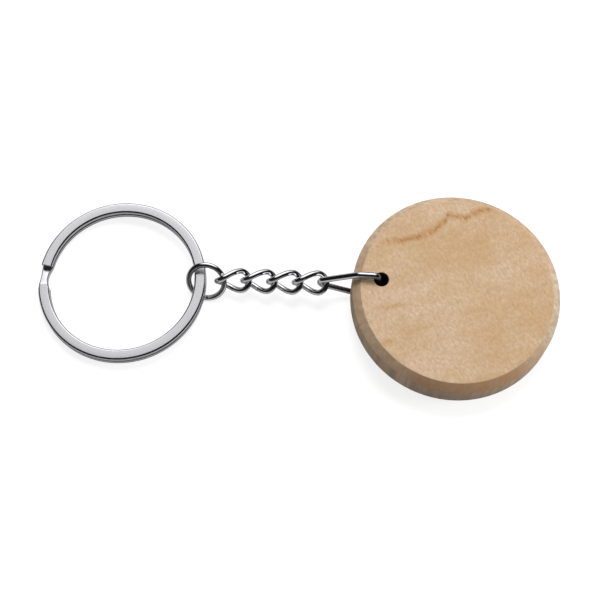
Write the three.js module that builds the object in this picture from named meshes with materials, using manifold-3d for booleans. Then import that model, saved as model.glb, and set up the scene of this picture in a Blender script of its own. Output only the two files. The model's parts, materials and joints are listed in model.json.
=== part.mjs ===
// Wooden keyring: a turned wooden disc on a short curb chain with a two-turn split ring.
//
// Millimetres, +Z up. The keyring lies on a flat surface with its chain along X: the split
// ring at -X, the disc at +X. The origin is the middle of the footprint, on that surface.
//
// Every wire piece is one bent length of wire, as on the real thing, so each loop has the
// fine butt joint where its two ends meet. Pieces are strung one inside the next from left
// to right: split ring, jump ring, four curb links, long link, disc.

import * as THREE from 'three';
import { mergeVertices } from 'three/addons/utils/BufferGeometryUtils.js';
import Module from 'manifold-3d';

const wasm = await Module();
wasm.setup();

// Wooden disc
const discDiameter = 40.2;
const discThickness = 7.8;
const discBevel = 1.5;
const holeDiameter = 2.7;
const holeToRim = 5.4;
const holeChamfer = 0.2;

// Long link: a loop of wire whose straight end passes through the hole in the disc
const longLinkWire = 1.2;
const longLinkFaceGap = 0.6;
const longLinkHeight = discThickness + 2 * (longLinkWire + longLinkFaceGap);
const longLinkTaperLength = 6.4;
const longLinkFlatLength = 3.75;
const longLinkTipRadius = 1.5;
const longLinkShoulderRadius = 1.8;
const longLinkCornerRadius = 1.1;

// Curb links: ovals of round wire, each twisted so that it lies flat against the next
const curbLinkCount = 4;
const curbWire = 1.15;
const curbLinkLength = 7.45;
const curbLinkWidth = 5;
const curbLeftEndRoll = THREE.MathUtils.degToRad(105);
const curbRightEndRoll = THREE.MathUtils.degToRad(15);

// Jump ring between the chain and the split ring
const jumpRingDiameter = 8.2;
const jumpRingWire = 1.1;
const jumpRingLean = THREE.MathUtils.degToRad(48);
const jumpRingTurn = THREE.MathUtils.degToRad(-8.5);
const jumpRingJoint = THREE.MathUtils.degToRad(-50);

// Split ring: two touching turns of flattened wire with one crossover
const splitRingDiameter = 33;
const splitWireWidth = 2.2;
const splitWireThickness = 1.15;
const splitWireCorner = 0.3;
const splitTurnGap = 0.1;
const crossoverStart = THREE.MathUtils.degToRad(184);
const crossoverSpan = THREE.MathUtils.degToRad(19);
const crossoverOverlap = THREE.MathUtils.degToRad(0.5);
const crossoverNeckShare = 0.3;

// Clearances, and how the pieces lie on the surface
const wireGap = 0.12;
const slantedWireGap = 0.25;
const holeWireGap = 0.04;
const buttGap = 0.06;
const bandInset = 2.32;
const bandDrop = 0.33;
const bandShift = 0.69;
const ringSwing = THREE.MathUtils.degToRad(5);
const firstLinkHang = THREE.MathUtils.degToRad(7);
const firstLinkSwing = THREE.MathUtils.degToRad(4);
const longLinkShift = 0.1;
const longLinkSwing = THREE.MathUtils.degToRad(-2.4);
const discSwing = THREE.MathUtils.degToRad(-1.8);
const longLinkTilt = THREE.MathUtils.degToRad(5.5);
const discTilt = THREE.MathUtils.degToRad(2.9);
const chainRiseShares = [0.08, 0.17, 0.31, 0.44];

// Facets
const wireSides = 10;
const discSegments = 96;
const holeSegments = 20;
const linkSteps = 44;
const jumpRingSteps = 40;
const bendDivisions = 4;
const splitStepsPerTurn = 60;
const crossoverSteps = 10;
const drillOverrun = 1;

// A tube from one ring of points to the next, closed by a flat cap at each end
function tubeThroughRings(rings) {
  const sides = rings[0].length;
  const positions = rings.flat().flatMap((point) => point.toArray());
  const indices = [];
  for (let i = 0; i + 1 < rings.length; i++) {
    for (let j = 0; j < sides; j++) {
      const a = i * sides + j;
      const b = i * sides + ((j + 1) % sides);
      indices.push(a, b, b + sides, a, b + sides, a + sides);
    }
  }
  const last = (rings.length - 1) * sides;
  for (let j = 1; j + 1 < sides; j++) {
    indices.push(0, j + 1, j);
    indices.push(last, last + j, last + j + 1);
  }
  const geometry = new THREE.BufferGeometry();
  geometry.setAttribute('position', new THREE.Float32BufferAttribute(positions, 3));
  geometry.setIndex(indices);
  geometry.computeVertexNormals();
  return geometry;
}

// Round wire along a run of centre points, its section carried along without twisting
function roundWire(centres, diameter) {
  const radius = diameter / 2;
  const tangents = centres.map((point, i) => {
    const before = centres[Math.max(i - 1, 0)];
    const after = centres[Math.min(i + 1, centres.length - 1)];
    return after.clone().sub(before).normalize();
  });
  const normal = new THREE.Vector3(tangents[0].y, tangents[0].z, tangents[0].x);
  const rings = centres.map((centre, i) => {
    normal.addScaledVector(tangents[i], -normal.dot(tangents[i])).normalize();
    const binormal = tangents[i].clone().cross(normal);
    return Array.from({ length: wireSides }, (_, j) => {
      const angle = (j / wireSides) * 2 * Math.PI;
      return centre
        .clone()
        .addScaledVector(normal, radius * Math.cos(angle))
        .addScaledVector(binormal, radius * Math.sin(angle));
    });
  });
  return tubeThroughRings(rings);
}

// The angle at which a*sin(angle) + b*cos(angle) equals c
function tiltReaching(a, b, c) {
  return Math.asin(c / Math.hypot(a, b)) - Math.atan2(b, a);
}

// Solids for the one boolean cut, the hole in the disc
function toSolid(geometry) {
  geometry.deleteAttribute('normal');
  geometry.deleteAttribute('uv');
  const merged = mergeVertices(geometry);
  return new wasm.Manifold(
    new wasm.Mesh({
      numProp: 3,
      vertProperties: new Float32Array(merged.attributes.position.array),
      triVerts: new Uint32Array(merged.index.array),
    }),
  );
}

function toGeometry(solid) {
  const mesh = solid.getMesh();
  const geometry = new THREE.BufferGeometry();
  geometry.setAttribute('position', new THREE.BufferAttribute(mesh.vertProperties, 3));
  geometry.setIndex(new THREE.BufferAttribute(mesh.triVerts, 1));
  geometry.computeVertexNormals();
  return geometry;
}

// Wooden disc, centred on its own middle: a turned profile with bevelled edges, drilled near the rim
const discRadius = discDiameter / 2;
const discHalfThickness = discThickness / 2;
const holeOffset = discRadius - holeToRim;

function turned(profile, segments) {
  return new THREE.LatheGeometry(profile, segments).rotateX(Math.PI / 2);
}

function woodenDisc() {
  const faceRadius = discRadius - discBevel;
  const wallHalf = discHalfThickness - discBevel;
  const profile = [
    new THREE.Vector2(0, -discHalfThickness),
    new THREE.Vector2(faceRadius, -discHalfThickness),
    new THREE.Vector2(discRadius, -wallHalf),
    new THREE.Vector2(discRadius, wallHalf),
    new THREE.Vector2(faceRadius, discHalfThickness),
    new THREE.Vector2(0, discHalfThickness),
  ];

  const holeRadius = holeDiameter / 2;
  const mouth = holeRadius + holeChamfer + drillOverrun;
  const drill = [
    new THREE.Vector2(0, -discHalfThickness - drillOverrun),
    new THREE.Vector2(mouth, -discHalfThickness - drillOverrun),
    new THREE.Vector2(holeRadius, -discHalfThickness + holeChamfer),
    new THREE.Vector2(holeRadius, discHalfThickness - holeChamfer),
    new THREE.Vector2(mouth, discHalfThickness + drillOverrun),
    new THREE.Vector2(0, discHalfThickness + drillOverrun),
  ];
  const body = toSolid(turned(profile, discSegments));
  const hole = toSolid(turned(drill, holeSegments).translate(-holeOffset, 0, 0));
  return toGeometry(body.subtract(hole));
}

// Long link, drawn in its own plane from the centre of its rounded tip: the legs open out from
// the tip, run parallel over both faces of the disc and turn into the straight through the hole
const longLinkHalfHeight = (longLinkHeight - longLinkWire) / 2;
const longLinkReach = longLinkTaperLength + longLinkFlatLength;
const legSpan = Math.hypot(longLinkTaperLength, longLinkHalfHeight);
const taper = Math.acos(longLinkTipRadius / legSpan) - Math.atan2(longLinkTaperLength, longLinkHalfHeight);
const arcCentreX = longLinkTaperLength + longLinkShoulderRadius * Math.tan(taper / 2);
const arcCentreY = longLinkHalfHeight - longLinkShoulderRadius;

function longLink() {
  const cornerX = longLinkReach - longLinkCornerRadius;
  const cornerY = longLinkHalfHeight - longLinkCornerRadius;
  const quarter = Math.PI / 2;
  const halfButt = buttGap / 2;
  const outline = new THREE.Path();
  outline.moveTo(longLinkReach, -halfButt);
  outline.lineTo(longLinkReach, -cornerY);
  outline.absarc(cornerX, -cornerY, longLinkCornerRadius, 0, -quarter, true);
  outline.lineTo(arcCentreX, -longLinkHalfHeight);
  outline.absarc(arcCentreX, -arcCentreY, longLinkShoulderRadius, -quarter, -quarter - taper, true);
  outline.absarc(0, 0, longLinkTipRadius, -quarter - taper, quarter + taper - 2 * Math.PI, true);
  outline.absarc(arcCentreX, arcCentreY, longLinkShoulderRadius, quarter + taper, quarter, true);
  outline.lineTo(cornerX, longLinkHalfHeight);
  outline.absarc(cornerX, cornerY, longLinkCornerRadius, quarter, 0, true);
  outline.lineTo(longLinkReach, halfButt);
  const centres = outline.getPoints(bendDivisions).map((p) => new THREE.Vector3(p.x, 0, p.y));
  return roundWire(centres, longLinkWire);
}

// Curb link, centred on its own middle: an oval whose plane rolls about its length
const curbHalfLength = (curbLinkLength - curbWire) / 2;
const curbHalfWidth = (curbLinkWidth - curbWire) / 2;

function curbLink() {
  const armHalf = curbHalfLength - curbHalfWidth;
  const outline = new THREE.Path();
  outline.moveTo(buttGap / 2, -curbHalfWidth);
  outline.lineTo(armHalf, -curbHalfWidth);
  outline.absarc(armHalf, 0, curbHalfWidth, -Math.PI / 2, Math.PI / 2, false);
  outline.lineTo(-armHalf, curbHalfWidth);
  outline.absarc(-armHalf, 0, curbHalfWidth, Math.PI / 2, (3 * Math.PI) / 2, false);
  outline.lineTo(-buttGap / 2, -curbHalfWidth);
  const centres = outline.getSpacedPoints(linkSteps).map((point) => {
    const along = (point.x + curbHalfLength) / (2 * curbHalfLength);
    const eased = THREE.MathUtils.smoothstep(along, 0, 1);
    const roll = THREE.MathUtils.lerp(curbLeftEndRoll, curbRightEndRoll, eased);
    return new THREE.Vector3(point.x, point.y * Math.cos(roll), point.y * Math.sin(roll));
  });
  return roundWire(centres, curbWire);
}

// Jump ring, centred on its own middle, its butt joint on the chain side below
const jumpRingRadius = (jumpRingDiameter - jumpRingWire) / 2;

function jumpRing() {
  const halfButt = buttGap / 2 / jumpRingRadius;
  const centres = Array.from({ length: jumpRingSteps + 1 }, (_, i) => {
    const share = i / jumpRingSteps;
    const turn = THREE.MathUtils.lerp(halfButt, 2 * Math.PI - halfButt, share);
    const angle = jumpRingJoint + turn;
    return new THREE.Vector3(jumpRingRadius * Math.cos(angle), jumpRingRadius * Math.sin(angle), 0);
  });
  return roundWire(centres, jumpRingWire);
}

// Split ring, centred on its own middle. The wire runs clockwise from its upper end, a full
// turn on top, steps down through the crossover and runs a second full turn underneath
const splitLevel = (splitWireThickness + splitTurnGap) / 2;
const splitWireRadius = (splitRingDiameter - splitWireWidth) / 2;
const splitHalfHeight = splitLevel + splitWireThickness / 2;

function flatWireSection(width) {
  const halfWidth = width / 2 - splitWireCorner;
  const halfThickness = splitWireThickness / 2 - splitWireCorner;
  const section = [];
  for (let quarter = 0; quarter < 4; quarter++) {
    const right = quarter === 0 || quarter === 3 ? 1 : -1;
    const top = quarter < 2 ? 1 : -1;
    for (let i = 0; i <= 2; i++) {
      const angle = ((quarter + i / 2) * Math.PI) / 2;
      section.push([
        right * halfWidth + splitWireCorner * Math.cos(angle),
        top * halfThickness + splitWireCorner * Math.sin(angle),
      ]);
    }
  }
  return section;
}

function splitRing() {
  const firstTurn = 2 * Math.PI - crossoverSpan + crossoverOverlap;
  const wholeRun = 2 * firstTurn + crossoverSpan;
  const upperEnd = crossoverStart - crossoverSpan + crossoverOverlap;
  const travels = [];
  for (let i = 0; i < splitStepsPerTurn; i++) {
    travels.push((i / splitStepsPerTurn) * firstTurn);
  }
  for (let i = 0; i < crossoverSteps; i++) {
    travels.push(firstTurn + (i / crossoverSteps) * crossoverSpan);
  }
  for (let i = 0; i <= splitStepsPerTurn; i++) {
    const share = i / splitStepsPerTurn;
    travels.push(THREE.MathUtils.lerp(firstTurn + crossoverSpan, wholeRun, share));
  }
  const rings = travels.map((travel) => {
    const across = THREE.MathUtils.clamp((travel - firstTurn) / crossoverSpan, 0, 1);
    const level = THREE.MathUtils.lerp(splitLevel, -splitLevel, THREE.MathUtils.smoothstep(across, 0, 1));
    const width = splitWireWidth * (1 - crossoverNeckShare * Math.sin(Math.PI * across));
    const angle = upperEnd - travel;
    return flatWireSection(width).map(([outward, up]) => {
      const radius = splitWireRadius + outward;
      return new THREE.Vector3(radius * Math.cos(angle), radius * Math.sin(angle), level + up);
    });
  });
  return tubeThroughRings(rings);
}

// Materials
const metal = (name, color, roughness) =>
  new THREE.MeshStandardMaterial({ name, color, roughness, metalness: 1 });
const maple = new THREE.MeshStandardMaterial({
  name: 'maple',
  color: 0xd0b292,
  roughness: 0.62,
  metalness: 0,
});
const satinNickel = metal('satin_nickel', 0xc9c9cc, 0.32);
const brightNickel = metal('bright_nickel', 0xc4c4c8, 0.12);

function piece(name, geometry, material) {
  const mesh = new THREE.Mesh(geometry, material);
  mesh.name = name;
  return mesh;
}

// Where things lie. The jump ring is the middle of the lay-out: it leans on the surface, over
// the split ring's band on one side and under it on the other, and holds the first curb link
const keyring = new THREE.Group();
const jumpHeight = jumpRingRadius * Math.sin(jumpRingLean) + jumpRingWire / 2;
const jumpMesh = piece('jump_ring', jumpRing(), brightNickel);
jumpMesh.position.z = jumpHeight;
jumpMesh.rotation.set(jumpRingLean, 0, jumpRingTurn, 'ZYX');
keyring.add(jumpMesh);

// The split ring's band passes through the jump ring; its far side rests on the surface
const bandMiddleX = splitWireWidth / 2 - bandInset;
const bandHeight = jumpHeight - bandDrop;
const splitRimReach = splitRingDiameter / 2 - splitWireCorner;
const splitTilt = tiltReaching(
  splitWireRadius + splitRimReach,
  splitHalfHeight - splitWireCorner,
  bandHeight - splitWireCorner,
);
const splitMesh = piece('split_ring', splitRing(), satinNickel);
splitMesh.position.x = -splitWireRadius * Math.cos(splitTilt);
splitMesh.position.z = -splitWireRadius * Math.sin(splitTilt);
splitMesh.rotation.y = -splitTilt;
const splitLie = new THREE.Group();
splitLie.position.set(bandMiddleX, bandShift, bandHeight);
splitLie.rotation.z = ringSwing;
splitLie.add(splitMesh);
keyring.add(splitLie);

// The curb links climb from the jump ring to the tip of the long link, steeper link by link.
// The first crosses the jump ring at a slant and keeps a little more room; the last sits with
// its wire in the rounded tip of the long link
const tipHeight =
  arcCentreY * Math.cos(longLinkTilt) -
  arcCentreX * Math.sin(longLinkTilt) +
  longLinkShoulderRadius +
  longLinkWire / 2;
const jumpNormal = new THREE.Vector3(0, 0, 1).applyEuler(jumpMesh.rotation);
const jumpEdge = new THREE.Vector3(1, 0, 0).projectOnPlane(jumpNormal).setLength(jumpRingRadius);
jumpEdge.applyAxisAngle(jumpNormal, firstLinkHang);
const strung = jumpMesh.position.clone().add(jumpEdge);
strung.x -= (jumpRingWire + curbWire) / 2 + slantedWireGap;
const shiftRise = longLinkShift * Math.tan(curbRightEndRoll);
const shiftRecess = curbHalfWidth - Math.sqrt(curbHalfWidth ** 2 - longLinkShift ** 2);
const chainRise = tipHeight - shiftRise - strung.z;
const tipSlack = longLinkTipRadius - (curbWire + longLinkWire) / 2 - wireGap;
for (let i = 0; i < curbLinkCount; i++) {
  const overlap = i + 1 < curbLinkCount ? curbWire + wireGap : -tipSlack;
  const pitch = 2 * curbHalfLength - overlap;
  const slope = Math.asin((chainRise * chainRiseShares[i]) / pitch);
  const swing = i === 0 ? firstLinkSwing : 0;
  const run = Math.cos(slope);
  const direction = new THREE.Vector3(run * Math.cos(swing), run * Math.sin(swing), Math.sin(slope));
  const linkMesh = piece(`chain_link_${i + 1}`, curbLink(), brightNickel);
  linkMesh.position.copy(strung).addScaledVector(direction, curbHalfLength);
  linkMesh.rotation.set(0, -slope, swing, 'ZYX');
  keyring.add(linkMesh);
  strung.addScaledVector(direction, pitch);
}

// The long link stands on the shoulder of its lower leg, tip down. That leg props up the near
// side of the disc, whose far edge rests on the surface
const discLie = new THREE.Group();
discLie.position.set(strung.x - shiftRecess, strung.y + longLinkShift, tipHeight);
discLie.rotation.z = longLinkSwing;
const longMesh = piece('long_link', longLink(), brightNickel);
longMesh.rotation.y = -longLinkTilt;
discLie.add(longMesh);

const discHeight =
  (discRadius - discBevel) * Math.sin(discTilt) + discHalfThickness * Math.cos(discTilt);
const discMesh = piece('wooden_disc', woodenDisc(), maple);
discMesh.position.x = holeOffset * Math.cos(discTilt);
discMesh.rotation.y = discTilt;
const holeLie = new THREE.Group();
holeLie.position.x = longLinkReach * Math.cos(longLinkTilt) - holeWireGap;
holeLie.position.z = discHeight - tipHeight;
holeLie.rotation.z = discSwing;
holeLie.add(discMesh);
discLie.add(holeLie);
keyring.add(discLie);

// Stand the keyring on the middle of its footprint
keyring.updateMatrixWorld(true);
const footprint = new THREE.Box3().setFromObject(keyring, true);
const middle = footprint.getCenter(new THREE.Vector3());
keyring.position.set(-middle.x, -middle.y, -footprint.min.z);
keyring.updateMatrixWorld(true);

export default keyring;
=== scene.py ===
# %% [markdown]
# # A wooden keyring
#
# The object is a turned maple disc on a short nickel-plated curb chain, with a split ring for
# the keys. It lies on a pale surface, and the camera looks down on it steeply.
#
# The solids of the keyring are loaded first, as a frame that nothing here may move. They give
# the place of every piece. Round wire has only a few sides in them, which shows in a mirror
# finish, so each piece is made again here with the same sizes and many more faces. Only the
# split ring is a little freer: its edges are rounder and its step down is shorter.

# %% Load the keyring's solids
import json
import math

import bpy
from mathutils import Euler, Matrix, Vector

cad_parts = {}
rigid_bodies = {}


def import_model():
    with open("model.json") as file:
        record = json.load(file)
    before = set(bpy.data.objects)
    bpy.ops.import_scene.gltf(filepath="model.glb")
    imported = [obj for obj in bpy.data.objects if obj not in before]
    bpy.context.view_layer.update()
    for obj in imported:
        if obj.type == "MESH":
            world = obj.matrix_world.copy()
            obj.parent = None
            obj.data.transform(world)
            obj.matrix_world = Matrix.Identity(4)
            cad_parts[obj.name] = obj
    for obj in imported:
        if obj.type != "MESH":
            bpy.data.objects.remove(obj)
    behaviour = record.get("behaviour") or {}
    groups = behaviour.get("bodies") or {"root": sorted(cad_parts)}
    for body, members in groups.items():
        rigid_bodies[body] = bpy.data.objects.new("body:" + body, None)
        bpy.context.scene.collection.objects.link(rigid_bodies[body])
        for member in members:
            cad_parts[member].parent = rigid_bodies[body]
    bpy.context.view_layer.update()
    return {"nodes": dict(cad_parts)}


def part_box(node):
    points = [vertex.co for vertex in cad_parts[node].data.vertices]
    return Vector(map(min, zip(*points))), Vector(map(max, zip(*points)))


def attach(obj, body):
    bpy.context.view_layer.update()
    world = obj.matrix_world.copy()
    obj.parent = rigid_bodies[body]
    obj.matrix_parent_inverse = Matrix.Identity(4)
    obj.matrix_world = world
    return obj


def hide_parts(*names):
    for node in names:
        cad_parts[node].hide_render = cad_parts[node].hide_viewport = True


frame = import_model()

MM = 0.001
print("nodes:", sorted(frame["nodes"]))

# %% [markdown]
# ## Where each piece lies
#
# Every piece is drawn round its own middle first, as its maker would bend or turn it, and then
# laid in its place: a point in millimetres and three turns in degrees. The place goes into the
# mesh itself, so that the finished object sits at the origin. The box of the new piece is set
# against the box of the solid that it stands for, which shows at once if the two disagree.

# %% Places of the pieces
PLACES = {
    "jump_ring": ((-17.8472, 1.0408, 3.1882), (48, 0, -8.5)),
    "split_ring": ((-34.3874, 0.3904, 2.0495), (0, -3.0101, 5)),
    "chain_link_1": ((-12.5782, 1.2655, 3.8304), (0, -1.1236, 4)),
    "chain_link_2": ((-7.5559, 1.3966, 3.9985), (0, -2.3883, 0)),
    "chain_link_3": ((-2.5366, 1.3966, 4.3162), (0, -4.358, 0)),
    "chain_link_4": ((2.4769, 1.3966, 4.7218), (0, -4.7839, 0)),
    "long_link": ((5.8177, 1.4966, 5.0284), (0, -5.5, -2.4)),
    "wooden_disc": ((30.5139, 0, 4.836), (0, 2.9, -4.2)),
}


def lie_of(name):
    """The matrix that takes a piece from its own millimetres to its place in metres."""
    middle, turns = PLACES[name]
    turn = Euler([math.radians(t) for t in turns]).to_matrix().to_4x4()
    return Matrix.Translation(Vector(middle) * MM) @ turn @ Matrix.Scale(MM, 4)


def settle(piece, body, sharp=40):
    """Puts the place into the mesh and hands the piece to the body that it moves with."""
    mesh = piece.data
    mesh.transform(lie_of(body))
    mesh.shade_smooth()
    mesh.set_sharp_from_angle(angle=math.radians(sharp))
    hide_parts(body)
    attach(piece, body)
    off = []
    for axis, (lo, hi) in enumerate(zip(*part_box(body))):
        spread = [v.co[axis] for v in mesh.vertices]
        off.append(round(max(abs(min(spread) - lo), abs(max(spread) - hi)) / MM, 3))
    print(piece.name, len(mesh.polygons), "faces, off the solid by", off, "mm")


print(len(PLACES), "places")

# %% [markdown]
# ## A short way to write node trees
#
# Wire work repeats one idea: follow a rule along a path, then sweep a section along it. Geometry
# Nodes suit that, because every size stays a named input. The trees are written in code, so a
# small helper adds a node, sets its options and wires its inputs in one call. Materials and the
# world own a tree already, and the same helper writes in theirs.


# %% Node tree helper
class Tree:
    """A node tree in the making: a new group, or the tree that something owns."""

    def __init__(self, name="", kind="GeometryNodeTree", owned=None):
        self.tree = bpy.data.node_groups.new(name, kind) if owned is None else owned
        self.ids = {}

    def takes(self, name, kind, value=None):
        socket = self.tree.interface.new_socket(name, in_out="INPUT", socket_type=kind)
        if value is not None:
            socket.default_value = value
        self.ids[name] = socket.identifier

    def gives(self, name, kind):
        self.tree.interface.new_socket(name, in_out="OUTPUT", socket_type=kind)

    def add(self, kind, *values, _out=0, _by=None, **options):
        node = self.tree.nodes.new(kind)
        for key, value in options.items():
            setattr(node, key, value)
        for where, value in [*enumerate(values), *(_by or {}).items()]:
            if value is None:
                continue
            if isinstance(value, bpy.types.NodeSocket):
                self.tree.links.new(value, node.inputs[where])
            else:
                node.inputs[where].default_value = value
        return node.outputs[_out]

    def link(self, value, socket):
        self.tree.links.new(value, socket)

    def node_outputs(self, kind):
        return self.tree.nodes.new(kind).outputs

    def ends(self, value):
        """Gives the value out as what the group makes."""
        self.link(value, self.tree.nodes.new("NodeGroupOutput").inputs[0])
        return self

    def math(self, operation, *values):
        return self.add("ShaderNodeMath", *values, operation=operation)

    def times(self, *values):
        """The product of two values or more."""
        product = values[0]
        for value in values[1:]:
            product = self.math("MULTIPLY", product, value)
        return product

    def run(self, value, low, high, to_low=0.0, to_high=1.0, smooth=False):
        """value carried from low..high to to_low..to_high, and held at both ends."""
        kind = "SMOOTHSTEP" if smooth else "LINEAR"
        ends = (value, low, high, to_low, to_high)
        return self.add("ShaderNodeMapRange", *ends, interpolation_type=kind)

    def parts(self, where):
        """The x, y and z of a place."""
        return self.add("ShaderNodeSeparateXYZ", where).node.outputs

    def hypotenuse(self, x, y):
        squares = self.math("POWER", x, 2.0), self.math("POWER", y, 2.0)
        return self.math("SQRT", self.math("ADD", *squares))

    def mapped(self, where, **settings):
        return self.add("ShaderNodeMapping", where, _by=settings)

    def noise(self, where, scale, detail, rough=0.5, out=0):
        settings = {"Vector": where, "Scale": scale, "Detail": detail, "Roughness": rough}
        return self.add("ShaderNodeTexNoise", _out=out, _by=settings)

    def blend(self, share, first, second):
        """The first colour where the share is 0 and the second where it is 1."""
        node = self.tree.nodes.new("ShaderNodeMix")
        node.data_type = "RGBA"
        # The colour sockets come after those of the other kinds that this node can mix.
        for socket, value in zip((node.inputs[0], *node.inputs[6:8]), (share, first, second)):
            if isinstance(value, bpy.types.NodeSocket):
                self.link(value, socket)
            else:
                socket.default_value = value
        return node.outputs[2]


def grow(name, tree, sizes, source=None):
    """Runs a Geometry Nodes tree with the given sizes and keeps the result as a plain mesh."""
    holder = bpy.data.objects.new(name + "_holder", source or bpy.data.meshes.new(name))
    bpy.context.scene.collection.objects.link(holder)
    modifier = holder.modifiers.new("shape", "NODES")
    modifier.node_group = tree.tree
    for key, value in sizes.items():
        modifier[tree.ids[key]] = value
    shown = holder.evaluated_get(bpy.context.evaluated_depsgraph_get())
    mesh = bpy.data.meshes.new_from_object(shown)
    mesh.name = name
    piece = bpy.data.objects.new(name, mesh)
    bpy.context.scene.collection.objects.link(piece)
    bpy.data.objects.remove(holder)
    return piece


print("ready to write trees")

# %% [markdown]
# ## Nickel plate, mirror-bright and satin
#
# The chain is polished steel wire under nickel, close to a mirror: what it looks like is mostly
# what stands round it. The split ring is tumbled and only satin. Both get fine scratches and
# faint smears, so that group of nodes is built once and given its own amounts in each metal.
# The scratches tilt the surface a little through a Bump node, and the smears change how rough
# it is from place to place.


# %% Shared group: wear on plated metal
def wear_group():
    t = Tree("plated wear", "ShaderNodeTree")
    t.takes("Place", "NodeSocketVector")
    t.takes("Scratches", "NodeSocketFloat", 1.0)
    t.takes("Polish", "NodeSocketFloat", 0.1)
    t.takes("Smears", "NodeSocketFloat", 0.05)
    t.gives("Roughness", "NodeSocketFloat")
    t.gives("Height", "NodeSocketFloat")
    into = t.node_outputs("NodeGroupInput")
    smear = t.noise(into["Place"], 0.45, 4.0, 0.6)
    rough = t.math("MULTIPLY_ADD", smear, into["Smears"], into["Polish"])
    bent = t.noise(into["Place"], 0.3, 1.0, out="Color")
    moved = t.add("ShaderNodeVectorMath", into["Place"], bent, operation="ADD")
    stretched = t.mapped(moved, Scale=(0.8, 9.0, 9.0), Rotation=(0, 0.3, 0.5))
    line = t.noise(stretched, 1.0, 5.0, 0.75)
    height = t.times(t.run(line, 0.42, 0.62), into["Scratches"])
    out = t.tree.nodes.new("NodeGroupOutput").inputs
    t.link(rough, out["Roughness"])
    t.link(height, out["Height"])
    return t


wear = wear_group()
print("group:", wear.tree.name)


# %% Nickel finishes
def blank_material(name):
    """A material, its tree and the socket that takes its surface."""
    material = bpy.data.materials.new(name)
    material.use_nodes = True
    material.node_tree.nodes.clear()
    t = Tree(owned=material.node_tree)
    return material, t, t.tree.nodes.new("ShaderNodeOutputMaterial").inputs[0]


def principled_material(name):
    material, t, surface = blank_material(name)
    shader = t.tree.nodes.new("ShaderNodeBsdfPrincipled")
    t.link(shader.outputs[0], surface)
    return material, t, shader.inputs


def own_place(t, name=None):
    """Millimetres in the piece's own frame, or in the keyring's where no piece is named."""
    where = t.node_outputs("ShaderNodeTexCoord")["Object"]
    middle, turns = PLACES[name] if name else ((0, 0, 0), (0, 0, 0))
    settings = {
        "Location": Vector(middle) * MM,
        "Rotation": Euler([math.radians(a) for a in turns]),
        "Scale": (MM, MM, MM),
    }
    return t.add("ShaderNodeMapping", where, _by=settings, vector_type="TEXTURE")


CLOUDED = 0.95  # how much of the tint is left where the plate is clouded most


def nickel(name, tint, depth, **wear_amounts):
    """A finish in the given tint, with scratches as deep as depth in millimetres."""
    material, t, skin = principled_material(name)
    place = own_place(t)
    amounts = {"Place": place, **wear_amounts}
    rough = t.add("ShaderNodeGroup", node_tree=wear.tree, _by=amounts, _out="Roughness")
    height = rough.node.outputs["Height"]
    cloud = t.noise(place, 0.25, 3.0)
    colour = t.blend(cloud, (*tint, 1), (*[c * CLOUDED for c in tint], 1))
    settings = {"Strength": 1.0, "Distance": depth * MM, "Height": height}
    t.link(colour, skin["Base Color"])
    t.link(rough, skin["Roughness"])
    t.link(t.add("ShaderNodeBump", _by=settings), skin["Normal"])
    skin["Metallic"].default_value = 1.0
    return material


bright_nickel = nickel(
    "bright nickel plate", (0.86, 0.86, 0.88), 0.002, Polish=0.04, Smears=0.05, Scratches=0.6
)
satin_nickel = nickel(
    "satin nickel plate", (0.72, 0.72, 0.745), 0.003, Polish=0.1, Smears=0.14, Scratches=1.0
)
print("finishes:", bright_nickel.name, satin_nickel.name)

# %% [markdown]
# ## Round wire
#
# The links and the jump ring are lengths of round wire, each bent until its ends meet. So the
# first tree only sweeps a round section along a path and closes its two ends. The other trees
# draw the path and use this one as a group.


# %% Tree: round wire along a path
def round_wire_tree():
    t = Tree("round wire")
    t.takes("Path", "NodeSocketGeometry")
    t.takes("Wire", "NodeSocketFloat", 1.15)
    t.takes("Sides", "NodeSocketInt", 32)
    t.takes("Finish", "NodeSocketMaterial")
    t.gives("Wire", "NodeSocketGeometry")
    into = t.node_outputs("NodeGroupInput")
    radius = t.math("DIVIDE", into["Wire"], 2.0)
    shape = {"Resolution": into["Sides"], "Radius": radius}
    section = t.add("GeometryNodeCurvePrimitiveCircle", _by=shape)
    return finished(t, into["Path"], section, into)


def finished(t, path, section, into, pressed=None):
    """Ends a tree: the section swept along the path, with closed ends and the tree's Finish."""
    swept = t.add("GeometryNodeCurveToMesh", path, section, _by={"Fill Caps": True})
    if pressed:
        swept = t.add("GeometryNodeSetPosition", swept, _by={"Offset": pressed})
    real = t.add("GeometryNodeRealizeInstances", swept)
    return t.ends(t.add("GeometryNodeSetMaterial", real, _by={"Material": into["Finish"]}))


round_wire = round_wire_tree()


def sweep(t, path, into):
    """Ends a tree: round wire along the path, in the tree's own Wire, Sides and Finish."""
    own = {key: into[key] for key in ("Wire", "Sides", "Finish")}
    return t.ends(t.add("GeometryNodeGroup", node_tree=round_wire.tree, _by={"Path": path, **own}))


def bend_straight_line(t, steps, place):
    """A line of so many points, each put at its place by the rule."""
    line = t.add("GeometryNodeCurvePrimitiveLine")
    points = t.add("GeometryNodeResampleCurve", line, _by={"Count": steps})
    return t.add("GeometryNodeSetPosition", points, _by={"Position": place})


BUTT_GAP = 0.06  # millimetres between the two ends of a bent wire


def wire_inputs(t, wire):
    t.takes("Wire", "NodeSocketFloat", wire)
    t.takes("Sides", "NodeSocketInt", 32)
    t.takes("Finish", "NodeSocketMaterial")
    t.takes("Steps", "NodeSocketInt", 180)
    t.gives("Piece", "NodeSocketGeometry")


print("tree:", round_wire.tree.name)

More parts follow.
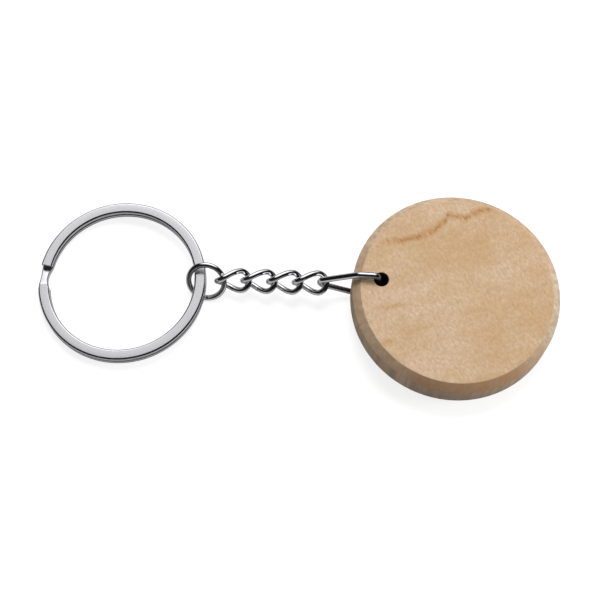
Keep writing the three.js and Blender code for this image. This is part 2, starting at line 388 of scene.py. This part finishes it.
# %% [markdown]
# ## Curb links
#
# A curb link is an oval of wire that is then twisted, so that it lies flat inside its
# neighbours. The rule has two steps. Walk round the oval by length, straight, half circle,
# straight, half circle, straight; each stretch is a clamped ramp, so their sum gives the point
# without a single condition. Then roll each point about the link's length, by an angle that
# eases from one end of the link to the other. Four copies of one rule make the chain.


# %% Tree: curb link
def curb_link_tree():
    t = Tree("curb link")
    wire_inputs(t, 1.15)
    t.takes("Butt gap", "NodeSocketFloat", BUTT_GAP)
    t.takes("Length", "NodeSocketFloat", 7.45)
    t.takes("Width", "NodeSocketFloat", 5.0)
    t.takes("Left roll", "NodeSocketFloat", math.radians(105))
    t.takes("Right roll", "NodeSocketFloat", math.radians(15))
    into = t.node_outputs("NodeGroupInput")
    half_length = t.math("DIVIDE", t.math("SUBTRACT", into["Length"], into["Wire"]), 2.0)
    bend = t.math("DIVIDE", t.math("SUBTRACT", into["Width"], into["Wire"]), 2.0)
    arm = t.math("SUBTRACT", half_length, bend)
    half_turn = t.math("MULTIPLY", bend, math.pi)
    corner_1 = arm
    corner_2 = t.math("ADD", corner_1, half_turn)
    corner_3 = t.math("MULTIPLY_ADD", arm, 2.0, corner_2)
    corner_4 = t.math("ADD", corner_3, half_turn)
    whole = t.math("ADD", corner_4, arm)

    half_gap = t.math("DIVIDE", into["Butt gap"], 2.0)
    factor = t.add("GeometryNodeSplineParameter")
    walked = t.run(factor, 0.0, 1.0, half_gap, t.math("SUBTRACT", whole, half_gap))
    first = t.run(walked, corner_1, corner_2, 0.0, math.pi)
    second = t.run(walked, corner_3, corner_4, 0.0, math.pi)
    angle = t.math("SUBTRACT", t.math("ADD", first, second), math.pi / 2)
    out = t.run(walked, 0.0, corner_1, 0.0, arm)
    back = t.run(walked, corner_2, corner_3, 0.0, t.math("MULTIPLY", arm, 2.0))
    home = t.run(walked, corner_4, whole, 0.0, arm)
    centre = t.math("ADD", t.math("SUBTRACT", out, back), home)
    x = t.math("MULTIPLY_ADD", t.math("COSINE", angle), bend, centre)
    y = t.math("MULTIPLY", t.math("SINE", angle), bend)

    left_end = t.math("MULTIPLY", half_length, -1.0)
    roll = t.run(x, left_end, half_length, into["Left roll"], into["Right roll"], smooth=True)
    rule = {"Vector": t.add("ShaderNodeCombineXYZ", x, y, 0.0), "Angle": roll}
    rolled = t.add("ShaderNodeVectorRotate", rotation_type="X_AXIS", _by=rule)
    return sweep(t, bend_straight_line(t, into["Steps"], rolled), into)


curb_link = curb_link_tree()
for number in range(1, 5):
    link = grow(f"curb_link_{number}_bright", curb_link, {"Finish": bright_nickel})
    settle(link, f"chain_link_{number}")

# %% [markdown]
# ## Jump ring
#
# The jump ring is one turn of wire. Its path is an arc that stops just short of a full turn,
# and it starts at the butt joint, low on the chain side.


# %% Tree: jump ring
def jump_ring_tree():
    t = Tree("jump ring")
    wire_inputs(t, 1.1)
    t.takes("Butt gap", "NodeSocketFloat", BUTT_GAP)
    t.takes("Diameter", "NodeSocketFloat", 8.2)
    t.takes("Joint at", "NodeSocketFloat", math.radians(-50))
    into = t.node_outputs("NodeGroupInput")
    radius = t.math("DIVIDE", t.math("SUBTRACT", into["Diameter"], into["Wire"]), 2.0)
    half_gap = t.math("DIVIDE", t.math("DIVIDE", into["Butt gap"], 2.0), radius)
    start = t.math("ADD", into["Joint at"], half_gap)
    turn = t.math("MULTIPLY_ADD", half_gap, -2.0, 2 * math.pi)
    shape = {"Radius": radius, "Start Angle": start, "Sweep Angle": turn}
    arc = t.add("GeometryNodeCurveArc", _by={"Resolution": into["Steps"], **shape})
    return sweep(t, arc, into)


jump_ring = grow("jump_ring_bright", jump_ring_tree(), {"Finish": bright_nickel})
settle(jump_ring, "jump_ring")

# %% [markdown]
# ## Long link
#
# The long link is bent round the disc: from the rounded tip its two legs open out, run flat
# over both faces of the disc and turn into the straight through the hole. It is easiest to
# think of as a run of straight lines with a bending radius at each corner, which is how a wire
# bender sees it. So the path starts as seven points that carry their own radius, and the
# Fillet Curve node makes the bends. Its butt joint is halfway up the straight, inside the hole.


# %% Tree: wire bent at its corners
def bent_wire_tree():
    t = Tree("bent wire")
    t.takes("Corners", "NodeSocketGeometry")
    wire_inputs(t, 1.2)
    into = t.node_outputs("NodeGroupInput")
    line = t.add("GeometryNodeMeshToCurve", into["Corners"])
    bend = t.add("GeometryNodeInputNamedAttribute", "bend", data_type="FLOAT")
    rounding = {"Count": into["Steps"], "Radius": bend}
    return sweep(t, t.add("GeometryNodeFilletCurve", line, _by=rounding, mode="POLY"), into)


bent_wire = bent_wire_tree()
print("tree:", bent_wire.tree.name)


# %% Long link
LONG_WIRE, LONG_HEIGHT = 1.2, 11.4
LONG_HALF_HEIGHT = (LONG_HEIGHT - LONG_WIRE) / 2
# From the tip's middle: where the legs stop opening, and where the straight through the hole is.
LONG_TAPER, LONG_FLAT = 6.4, 3.75
LONG_REACH = LONG_TAPER + LONG_FLAT
# Bending radii.
LONG_TIP, LONG_SHOULDER, LONG_CORNER = 1.5, 1.8, 1.1

leg_span = math.hypot(LONG_TAPER, LONG_HALF_HEIGHT)
opening = math.acos(LONG_TIP / leg_span) - math.atan2(LONG_TAPER, LONG_HALF_HEIGHT)
upper = [
    (LONG_REACH, BUTT_GAP / 2, 0.0),
    (LONG_REACH, LONG_HALF_HEIGHT, LONG_CORNER),
    (LONG_TAPER, LONG_HALF_HEIGHT, LONG_SHOULDER),
]
tip = [(-LONG_TIP / math.sin(opening), 0.0, LONG_TIP)]
lower = [(x, -z, bend) for x, z, bend in reversed(upper)]
corners = bpy.data.meshes.new("long link corners")
run_of = upper + tip + lower
pairs = [(i, i + 1) for i in range(len(run_of) - 1)]
corners.from_pydata([(x, 0, z) for x, z, _ in run_of], pairs, [])
bends = corners.attributes.new("bend", "FLOAT", "POINT")
bends.data.foreach_set("value", [bend for _, _, bend in run_of])

long_sizes = {"Wire": LONG_WIRE, "Steps": 30, "Finish": bright_nickel}
long_link = grow("long_link_bright", bent_wire, long_sizes, corners)
settle(long_link, "long_link")

# %% [markdown]
# ## Split ring
#
# A split ring is flat wire wound twice round, one turn on top of the other, with a short step
# down where the turns change places. One rule gives its path: the angle falls evenly along the
# wire, and the height drops only inside the crossover, over the last part of it. The section is
# a small oblong with well rounded edges. Curve normals that stay level keep it flat all the way,
# and at the crossover the band is pressed a little narrower, as it is on the real ring.


# %% Tree: split ring
def split_ring_tree():
    t = Tree("split ring")
    t.takes("Diameter", "NodeSocketFloat", 33.0)
    t.takes("Band width", "NodeSocketFloat", 2.2)
    t.takes("Band thickness", "NodeSocketFloat", 1.15)
    t.takes("Edge radius", "NodeSocketFloat", 0.44)
    t.takes("Turn gap", "NodeSocketFloat", 0.1)
    t.takes("Crossover start", "NodeSocketFloat", math.radians(184))
    t.takes("Crossover span", "NodeSocketFloat", math.radians(19))
    t.takes("Overlap", "NodeSocketFloat", math.radians(0.5))
    t.takes("Neck share", "NodeSocketFloat", 0.3)
    t.takes("Ramp share", "NodeSocketFloat", 0.8)
    t.takes("Steps", "NodeSocketInt", 900)
    t.takes("Finish", "NodeSocketMaterial")
    t.gives("Piece", "NodeSocketGeometry")
    into = t.node_outputs("NodeGroupInput")
    middle = t.math("DIVIDE", t.math("SUBTRACT", into["Diameter"], into["Band width"]), 2.0)
    level = t.math("DIVIDE", t.math("ADD", into["Band thickness"], into["Turn gap"]), 2.0)
    open_turn = t.math("SUBTRACT", 2 * math.pi, into["Crossover span"])
    first_turn = t.math("ADD", open_turn, into["Overlap"])
    whole = t.math("MULTIPLY_ADD", first_turn, 2.0, into["Crossover span"])
    upper_end = t.math("SUBTRACT", into["Crossover start"], into["Crossover span"])
    start = t.math("ADD", upper_end, into["Overlap"])

    factor = t.add("GeometryNodeSplineParameter")
    travel = t.math("MULTIPLY", factor, whole)
    across = t.run(travel, first_turn, t.math("ADD", first_turn, into["Crossover span"]))
    ramp_top = t.math("SUBTRACT", 1.0, into["Ramp share"])
    height = t.run(across, ramp_top, 1.0, level, t.math("MULTIPLY", level, -1.0))
    angle = t.math("SUBTRACT", start, travel)
    x = t.math("MULTIPLY", t.math("COSINE", angle), middle)
    y = t.math("MULTIPLY", t.math("SINE", angle), middle)
    spiral = t.add("ShaderNodeCombineXYZ", x, y, height)
    wound = bend_straight_line(t, into["Steps"], spiral)
    level_wound = t.add("GeometryNodeSetCurveNormal", wound, mode="Z_UP")
    neck = t.times(t.math("SINE", t.math("MULTIPLY", across, math.pi)), into["Neck share"])
    note = {"Name": "neck", "Value": neck}
    noted = t.add("GeometryNodeStoreNamedAttribute", level_wound, _by=note)

    oblong = {"Width": into["Band width"], "Height": into["Band thickness"]}
    block = t.add("GeometryNodeCurvePrimitiveQuadrilateral", _by=oblong)
    rounding = {"Count": 8, "Radius": into["Edge radius"]}
    section = t.add("GeometryNodeFilletCurve", block, _by=rounding, mode="POLY")

    parts = t.parts(t.add("GeometryNodeInputPosition"))
    flat = t.add("ShaderNodeCombineXYZ", parts[0], parts[1], 0.0)
    reach = t.add("ShaderNodeVectorMath", flat, operation="LENGTH", _out=1)
    share = t.add("GeometryNodeInputNamedAttribute", "neck", data_type="FLOAT")
    drawn = t.math("MULTIPLY", t.math("SUBTRACT", middle, reach), share)
    inward = t.add("ShaderNodeVectorMath", flat, operation="NORMALIZE")
    shift = t.add("ShaderNodeVectorMath", inward, _by={"Scale": drawn}, operation="SCALE")
    return finished(t, noted, section, into, pressed=shift)


split_ring = grow("split_ring_satin", split_ring_tree(), {"Finish": satin_nickel})
settle(split_ring, "split_ring")

# %% [markdown]
# ## Maple
#
# The disc is pale maple, sanded and left bare. Close up such wood shows four things: a slow
# change of tone, fine rays with short flecks between them, faint marks, and now and then a
# darker mineral streak that wanders across the board. The tone, the marks and the streak follow
# the grain, so they are laid out in two numbers: u along the grain and v across it, in
# millimetres from the middle of the disc. The rays run across the grain at an angle of their own.
#
# A faint mark is a soft spot that is much longer than it is wide, with a ragged outline. The
# disc has several, so the mark is a group with its own place, length and width.
#
# The rim shows wood cut another way, so it has bands and a tone of its own. Patches of painted
# light and shade lie on it too, by the way it faces. The mirror of the
# wires shows the wood nearly black, which real wood wouldn't be. It keeps a brown tone off the
# long link's lower leg, where the photograph has none.


# %% Shared group: one faint mark in the grain
def grain_mark_group():
    t = Tree("grain mark", "ShaderNodeTree")
    where = {"U": 0, "V": 0, "At u": 0, "At v": 0}
    sizes = {"Half length": 3, "Half width": 0.5, "Depth": 1, "Ragged": 0}
    for name, value in {**where, **sizes}.items():
        t.takes(name, "NodeSocketFloat", value)
    t.gives("Mark", "NodeSocketFloat")
    into = t.node_outputs("NodeGroupInput")
    along = t.math("DIVIDE", t.math("SUBTRACT", into["U"], into["At u"]), into["Half length"])
    side = t.math("ADD", t.math("SUBTRACT", into["V"], into["At v"]), into["Ragged"])
    across = t.math("DIVIDE", side, into["Half width"])
    away = t.hypotenuse(along, across)
    return t.ends(t.times(t.run(away, 1.0, 0.2, smooth=True), into["Depth"]))


grain_mark = grain_mark_group()
print("group:", grain_mark.tree.name)


# %% Maple
DISC_RADIUS, DISC_HALF, BEVEL, HOLE_AT = 20.1, 3.9, 1.5, -14.7
GRAIN_TURN, RAY_TURN = math.radians(18), math.radians(50)
# The streak's course in u and v, and the box that the curve node draws it in.
STREAK_U, STREAK_V = (-14.5, 12.5), (9.0, 18.0)
STREAK = [
    (-13.78, 11.26), (-10.58, 12.0), (-8.04, 11.81), (-5.4, 12.11), (-2.39, 12.6),
    (-0.69, 13.66), (0.95, 14.83), (1.49, 15.46), (3.11, 15.02), (5.06, 14.39),
    (6.46, 15.24), (8.21, 15.45), (10.58, 15.66),
]
# Each mark's u and v, half length, half width and depth.
MARKS = [
    (-12.9, -1.15, 4.6, 0.75, 1.0), (-15.0, -8.0, 2.0, 0.6, 1.0), (6.8, 9.0, 2.6, 0.8, 0.45),
    (17.6, 1.0, 2.2, 0.8, 0.3), (9.9, -1.2, 2.4, 0.8, 0.35), (-1.0, -4.9, 2.8, 0.9, 0.3),
    (-9.0, 3.0, 5.0, 1.2, 0.25), (4.0, -12.0, 6.0, 1.2, 0.25), (12.0, -8.5, 4.0, 1.0, 0.25),
]
PALE, WARM = (0.70, 0.52, 0.375, 1), (0.59, 0.40, 0.22, 1)
RAY, FLECK, MARK = (0.44, 0.285, 0.16, 1), (0.46, 0.29, 0.13, 1), (0.50, 0.29, 0.12, 1)
STREAK_EDGE, STREAK_CORE = (0.49, 0.275, 0.12, 1), (0.37, 0.205, 0.09, 1)
WALL, SLANT, BAND = (0.68, 0.53, 0.41, 1), (0.57, 0.405, 0.265, 1), (0.44, 0.30, 0.20, 1)
# The hole's colour is painted shade: the deep bore is painted nearly black.
HOLE_PAINTED_SHADE, IN_MIRRORS = (0.05, 0.03, 0.02, 1), (0.02, 0.02, 0.022, 1)
RAY_SHARE, FLECK_SHARE, RIM_SHARE, BAND_SHARE, MIRROR_SHARE = 0.68, 0.25, 0.55, 0.75, 0.93
# Patches of painted light and shade round the rim, by the way it faces: a painted sheen at the
# right, painted light on the lower left wall and the upper left bevel, and painted shade on the
# near bevel. Each has the way it faces in degrees, how far it is full and where it ends, its part
# and its tone.
RIM_LIGHT_AND_SHADE = [
    (0, 8, 32, "rim", (0.67, 0.57, 0.45)),
    (-78, 25, 42, "bevel", (0.4225, 0.2125, 0.081)),
    (-134, 15, 38, "wall", (0.79, 0.59, 0.42)),
    (132, 22, 40, "bevel", (0.7275, 0.5625, 0.391)),
]
RIM_LIGHT_SHARE = 0.8
EDGE_BLUR = 0.1  # half the width in which the face's tone gives way to the rim's


def along_grain(t, turned, along, across, detail=3.0, rough=0.55):
    stretched = t.mapped(turned, Scale=(along, across, across))
    return t.noise(stretched, 1.0, detail, rough)


def along_rays(t, place, along, across, detail, rough=0.5):
    turned = t.mapped(place, Rotation=(0, 0, RAY_TURN))
    stretched = t.mapped(turned, Scale=(along, across, across))
    return t.noise(stretched, 1.0, detail, rough)


def faint_marks(t, u, v, ragged):
    whole = None
    for at_u, at_v, length, width, depth in MARKS:
        where = {"U": u, "V": v, "Ragged": ragged, "At u": at_u, "At v": at_v}
        sizes = {"Half length": length, "Half width": width, "Depth": depth}
        mark = t.add("ShaderNodeGroup", node_tree=grain_mark.tree, _by={**where, **sizes})
        whole = t.math("MAXIMUM", whole, mark) if whole else mark
    return whole


def streak_line(t, u):
    """The streak's v at each u."""
    course = t.tree.nodes.new("ShaderNodeFloatCurve")
    curve = course.mapping.curves[0]
    (left, right), (low, high) = STREAK_U, STREAK_V
    spots = [((a - left) / (right - left), (b - low) / (high - low)) for a, b in STREAK]
    curve.points[0].location, curve.points[1].location = spots[0], spots[-1]
    for spot in spots[1:-1]:
        curve.points.new(*spot)
    course.mapping.update()
    t.link(t.run(u, left, right), course.inputs["Value"])
    return t.math("MULTIPLY_ADD", course.outputs[0], high - low, low)


def with_streak(t, colour, place, u, v, ragged):
    """The colour with the streak on it: a combed, soft edge and a darker core."""
    teeth = t.times(t.math("SUBTRACT", along_rays(t, place, 0.5, 1.3, 1.0), 0.5), 1.1)
    uneven = t.math("ADD", teeth, t.times(ragged, 0.3))
    off = t.math("ADD", t.math("SUBTRACT", v, streak_line(t, u)), uneven)
    off = t.math("ABSOLUTE", off)
    ends = t.times(t.run(u, -14.5, -9.0), t.run(u, 12.0, 9.5))
    comb = t.run(along_rays(t, place, 0.5, 1.5, 1.0), 0.35, 0.6, 0.5, 1.0)
    edge = t.times(t.run(off, 1.3, 0.2, smooth=True), ends, comb)
    fine = t.run(along_rays(t, place, 0.5, 1.2, 2.0), 0.45, 0.6)
    core = t.times(t.run(off, 0.5, 0.1), ends, fine)
    return t.blend(core, t.blend(edge, colour, STREAK_EDGE), STREAK_CORE)


def with_rim(t, colour, place):
    """The colour with the rim's own: bevel and wall, patches of painted light and shade by the way
    the rim faces, and the bands across both.
    """
    x, y, z = t.parts(place)
    reach = t.hypotenuse(x, y)
    face_end, bevel_end = DISC_RADIUS - BEVEL, DISC_HALF - BEVEL
    rim = t.run(reach, face_end - EDGE_BLUR, face_end + EDGE_BLUR)
    slant = t.run(t.math("ABSOLUTE", z), bevel_end - EDGE_BLUR, bevel_end + EDGE_BLUR)
    colour = t.blend(t.times(rim, RIM_SHARE), colour, t.blend(slant, WALL, SLANT))
    parts = {
        "rim": rim,
        "bevel": t.times(rim, slant),
        "wall": t.times(rim, t.math("SUBTRACT", 1.0, slant)),
    }
    # Painted light and shade: each patch lightens or darkens the rim where it faces that way.
    for facing, full, end, part, tone in RIM_LIGHT_AND_SHADE:
        facing, full, end = (math.radians(a) for a in (facing, full, end))
        way = t.math("ADD", t.times(x, math.cos(facing)), t.times(y, math.sin(facing)))
        turned_to = t.math("DIVIDE", way, reach)
        patch = t.run(turned_to, math.cos(end), math.cos(full), smooth=True)
        colour = t.blend(t.times(patch, RIM_LIGHT_SHARE, parts[part]), colour, (*tone, 1))
    bands = t.noise(t.mapped(place, Scale=(0.9, 0.9, 0.03)), 1.0, 3.0, 0.6)
    return t.blend(t.times(rim, t.run(bands, 0.36, 0.62, 0.0, BAND_SHARE)), colour, BAND)


def maple():
    material, t, skin = principled_material("bare maple")
    place = own_place(t, "wooden_disc")
    turned = t.mapped(place, Rotation=(0, 0, -GRAIN_TURN))
    u, v, _ = t.parts(turned)

    slow = along_grain(t, turned, 0.07, 0.13, 6.0, 0.66)
    colour = t.blend(t.run(slow, 0.38, 0.62), PALE, WARM)
    rays = along_rays(t, place, 1.35, 2.0, 2.0, 0.8)
    colour = t.blend(t.run(rays, 0.29, 0.71, 0.0, RAY_SHARE), colour, RAY)
    flecks = t.run(along_rays(t, place, 0.6, 1.3, 1.0), 0.58, 0.72)
    colour = t.blend(t.times(flecks, FLECK_SHARE), colour, FLECK)

    ragged = t.times(t.math("SUBTRACT", along_grain(t, turned, 0.9, 0.9), 0.5), 1.6)
    gaps = t.run(along_grain(t, turned, 3.0, 2.0), 0.3, 0.6)
    colour = t.blend(t.times(faint_marks(t, u, v, ragged), gaps), colour, MARK)
    colour = with_streak(t, colour, place, u, v, ragged)
    colour = with_rim(t, colour, place)

    # Painted shade: the wood goes nearly black inside the bore.
    x, y, _ = t.parts(place)
    from_hole = t.hypotenuse(t.math("SUBTRACT", x, HOLE_AT), y)
    colour = t.blend(t.run(from_hole, 1.55, 1.38, smooth=True), colour, HOLE_PAINTED_SHADE)
    glossy = t.node_outputs("ShaderNodeLightPath")["Is Glossy Ray"]
    colour = t.blend(t.times(glossy, MIRROR_SHARE), colour, IN_MIRRORS)
    t.link(colour, skin["Base Color"])

    t.link(t.run(rays, 0.3, 0.7, 0.5, 0.62), skin["Roughness"])
    relief = t.math("SUBTRACT", rays, t.times(flecks, 0.6))
    settings = {"Strength": 0.6, "Distance": 0.03 * MM, "Height": relief}
    t.link(t.add("ShaderNodeBump", _by=settings), skin["Normal"])
    skin["Specular IOR Level"].default_value = 0.35
    return material


bare_maple = maple()
print("finish:", bare_maple.name, "with", len(bare_maple.node_tree.nodes), "nodes")

# %% [markdown]
# ## Wooden disc
#
# The disc is turned on a lathe, so its profile is spun round an axis. The profile is half of
# the section: flat face, bevel, wall, bevel, flat face. Sandpaper has broken each corner a
# little, and an extra ring just inside the face's edge keeps that shading off the flat face. The
# hole is drilled through with a second turned shape, whose mouth is a little eased too.


# %% Turn and drill the disc
import bmesh

HOLE_RADIUS, MOUTH = 1.35, 0.2
WALL_EASING, FACE_EASING, FACE_RING = 0.2, 0.12, 0.3
DISC_STEPS, DRILL_STEPS, MOUTH_STEPS = 240, 60, 5


def turned_mesh(name, profile, steps):
    """Spins (radius, height) points round Z into a closed mesh."""
    shape = bmesh.new()
    spots = [shape.verts.new((r, 0, z)) for r, z in profile]
    edges = [shape.edges.new(pair) for pair in zip(spots, spots[1:])]
    whole_turn = {"axis": (0, 0, 1), "angle": 2 * math.pi, "steps": steps, "use_merge": True}
    bmesh.ops.spin(shape, geom=spots + edges, **whole_turn)
    bmesh.ops.remove_doubles(shape, verts=shape.verts, dist=1e-4)
    bmesh.ops.recalc_face_normals(shape, faces=shape.faces)
    mesh = bpy.data.meshes.new(name)
    shape.to_mesh(mesh)
    shape.free()
    piece = bpy.data.objects.new(name, mesh)
    bpy.context.scene.collection.objects.link(piece)
    return piece


def broken_corner(corner, before, after, easing, steps=4):
    """A small curve in place of the corner, from the side of one neighbour to the other's."""
    corner = Vector(corner)
    start = corner + (Vector(before) - corner).normalized() * easing
    end = corner + (Vector(after) - corner).normalized() * easing
    curve = []
    for a in (i / steps for i in range(steps + 1)):
        curve.append(tuple(start * (1 - a) ** 2 + corner * (2 * a * (1 - a)) + end * a * a))
    return curve


wall_top, face_edge = (DISC_RADIUS, DISC_HALF - BEVEL), (DISC_RADIUS - BEVEL, DISC_HALF)
lower_corner = broken_corner(wall_top, (DISC_RADIUS, 0), face_edge, WALL_EASING)
upper_corner = broken_corner(face_edge, wall_top, (0, DISC_HALF), FACE_EASING)
face = [(DISC_RADIUS - BEVEL - FACE_RING, DISC_HALF), (0, DISC_HALF)]
upper_side = lower_corner + upper_corner + face
profile = [(r, -z) for r, z in reversed(upper_side)] + upper_side
disc = turned_mesh("wooden_disc_maple", profile, DISC_STEPS)

mouth = []
for a in (math.pi / 2 * i / MOUTH_STEPS for i in range(MOUTH_STEPS + 1)):
    inward, upward = MOUTH * math.cos(a), MOUTH * math.sin(a)
    mouth.append((HOLE_RADIUS + MOUTH - inward, DISC_HALF - MOUTH + upward))
upper_drill = mouth + [(HOLE_RADIUS + MOUTH, DISC_HALF + 1), (0, DISC_HALF + 1)]
drill_profile = [(r, -z) for r, z in reversed(upper_drill)] + upper_drill
drill = turned_mesh("drill", drill_profile, DRILL_STEPS)
drill.data.transform(Matrix.Translation((HOLE_AT, 0, 0)))

cut = disc.modifiers.new("hole", "BOOLEAN")
cut.object, cut.operation, cut.solver = drill, "DIFFERENCE", "EXACT"
shown = disc.evaluated_get(bpy.context.evaluated_depsgraph_get())
drilled = bpy.data.meshes.new_from_object(shown)
disc.modifiers.clear()
disc.data = drilled
bpy.data.objects.remove(drill)
disc.data.materials.clear()
disc.data.materials.append(bare_maple)
settle(disc, "wooden_disc", sharp=10)

# %% [markdown]
# ## Floor, light and camera
#
# The photograph has a plain white background and hardly any shadow. So the floor glows white for
# what looks straight at it. The light that it throws back is that of a middle grey, which keeps
# the wall of the disc in shade, and a mirror sees a middle grey with next to no glow.
#
# Polished wire shows its surroundings. A wide bright ceiling and a window, both behind and above,
# give the white lines on it, and the dark between them gives the black ones. A weak patch in
# front keeps the side that faces away from the window from going quite black. These are painted
# in the world as soft regions by direction, for mirror rays only. What lights the wood is one
# soft lamp above, a smaller one at the right, and a weak sky.

# %% Floor
floor_mesh = bpy.data.meshes.new("floor")
floor_mesh.from_pydata([(-2, -2, 0), (2, -2, 0), (2, 2, 0), (-2, 2, 0)], [], [(0, 1, 2, 3)])
floor = bpy.data.objects.new("floor", floor_mesh)
bpy.context.scene.collection.objects.link(floor)

FLOOR_GREY, FLOOR_GLOW = 0.4, 0.8
MIRRORED_GREY, MIRRORED_GLOW = 0.5, 0.02
paper, t, surface = blank_material("white paper")
rays = t.node_outputs("ShaderNodeLightPath")
more_grey = MIRRORED_GREY - FLOOR_GREY
grey = t.math("MULTIPLY_ADD", rays["Is Glossy Ray"], more_grey, FLOOR_GREY)
seen = t.times(rays["Is Camera Ray"], FLOOR_GLOW)
glow = t.math("MULTIPLY_ADD", rays["Is Glossy Ray"], MIRRORED_GLOW, seen)
matt = t.add("ShaderNodeBsdfDiffuse", grey)
shining = t.add("ShaderNodeEmission", _by={"Strength": glow})
t.link(t.add("ShaderNodeAddShader", matt, shining), surface)
floor_mesh.materials.append(paper)
print("floor:", floor.dimensions.x, "m wide")

# %% World
# Each region's direction, where it ends and is full in degrees, squeeze and brightness. A squeeze
# below 1 makes it wider from left to right.
STUDIO = {
    "ceiling": ((0.0, 0.62, 1.0), 31, 20, 0.7, 0.86),
    "window": ((0.0, 1.0, 0.75), 28, 17, 0.62, 0.9),
    "front": ((0.0, -1.0, 0.4), 22, 8, 0.35, 0.06),
}
STUDIO_DARK = 0.01
# The sky that lights the wood: its level, and how much more of it comes from the right and back.
SKY, SKY_RIGHT, SKY_BACK = 0.29, 0.06, 0.1

world = bpy.data.worlds.new("tent")
bpy.context.scene.world = world
world.use_nodes = True
world.node_tree.nodes.clear()
t = Tree(owned=world.node_tree)
rays = t.node_outputs("ShaderNodeLightPath")
toward = t.node_outputs("ShaderNodeTexCoord")["Generated"]


def region(direction, end, full, squeeze):
    """1 inside a patch of sky about the direction, 0 outside, soft between the two angles."""
    middle = tuple(Vector(direction).normalized())
    squeezed = t.add("ShaderNodeVectorMath", toward, (squeeze, 1.0, 1.0), operation="MULTIPLY")
    evened = t.add("ShaderNodeVectorMath", squeezed, operation="NORMALIZE")
    facing = t.add("ShaderNodeVectorMath", evened, middle, operation="DOT_PRODUCT", _out=1)
    return t.run(facing, math.cos(math.radians(end)), math.cos(math.radians(full)), smooth=True)


mirrored = STUDIO_DARK
for *extent, brightness in reversed(STUDIO.values()):
    mirrored = t.math("MULTIPLY_ADD", region(*extent), brightness, mirrored)
shown = t.math("MULTIPLY_ADD", mirrored, rays["Is Glossy Ray"], rays["Is Camera Ray"])
x, y, _ = t.parts(toward)
slope = t.math("MULTIPLY_ADD", x, SKY_RIGHT, t.math("MULTIPLY_ADD", y, SKY_BACK, SKY))
sky = t.times(rays["Is Diffuse Ray"], t.math("MAXIMUM", slope, 0.0))
back = t.tree.nodes.new("ShaderNodeBackground")
t.link(t.math("ADD", shown, sky), back.inputs["Strength"])
back.inputs["Color"].default_value = (1, 1, 1, 1)
t.link(back.outputs[0], t.tree.nodes.new("ShaderNodeOutputWorld").inputs[0])
print("world:", len(t.tree.nodes), "nodes")


# %% Lamps
def soft_lamp(name, place, power, size):
    """A round lamp aimed at the middle. Mirrors don't see it, since they have the studio."""
    data = bpy.data.lights.new(name, "AREA")
    data.shape, data.size, data.energy = "DISK", size, power
    lamp = bpy.data.objects.new(name, data)
    lamp.location = place
    lamp.rotation_euler = (-Vector(place)).to_track_quat("-Z", "Y").to_euler()
    lamp.visible_glossy = False
    bpy.context.scene.collection.objects.link(lamp)
    print("lamp:", name, "at", [round(c, 2) for c in place])


soft_lamp("overhead", place=(0.03, 0.33, 0.58), power=3.3, size=0.4)
soft_lamp("side", place=(0.57, 0.0, 0.22), power=1.6, size=0.25)

# %% [markdown]
# ## Camera
#
# The split ring's and the disc's ellipses in the photograph give how steeply the camera looks
# down. Its distance was chosen: several were tried and 300 mm was kept. The keyring is turned a
# few degrees in the picture, so the camera's own right hand points a little off X.

# %% Camera
EYE, TARGET = Vector((6.923, -105.893, 280.822)) * MM, Vector((0.567, -0.533, 0.0)) * MM
CAMERA_TURN = math.radians(3.45)
SENSOR = 36
FOCAL_LENGTH, PICTURE_WIDTH = 1525, 600  # in pixels of the photograph

camera = bpy.data.objects.new("camera", bpy.data.cameras.new("camera"))
bpy.context.scene.collection.objects.link(camera)
bpy.context.scene.camera = camera
away = (EYE - TARGET).normalized()
right = Vector((math.cos(CAMERA_TURN), math.sin(CAMERA_TURN), 0))
up = away.cross(right).normalized()
right = up.cross(away)
turned = Matrix((right, up, away)).transposed().to_4x4()
camera.matrix_world = Matrix.Translation(EYE) @ turned
camera.data.sensor_width = SENSOR
camera.data.lens = SENSOR * FOCAL_LENGTH / PICTURE_WIDTH
camera.data.clip_start = 0.01
bpy.context.scene.view_settings.view_transform = "Standard"
print("camera looks down at", round(math.degrees(math.asin(away.z)), 1), "degrees")
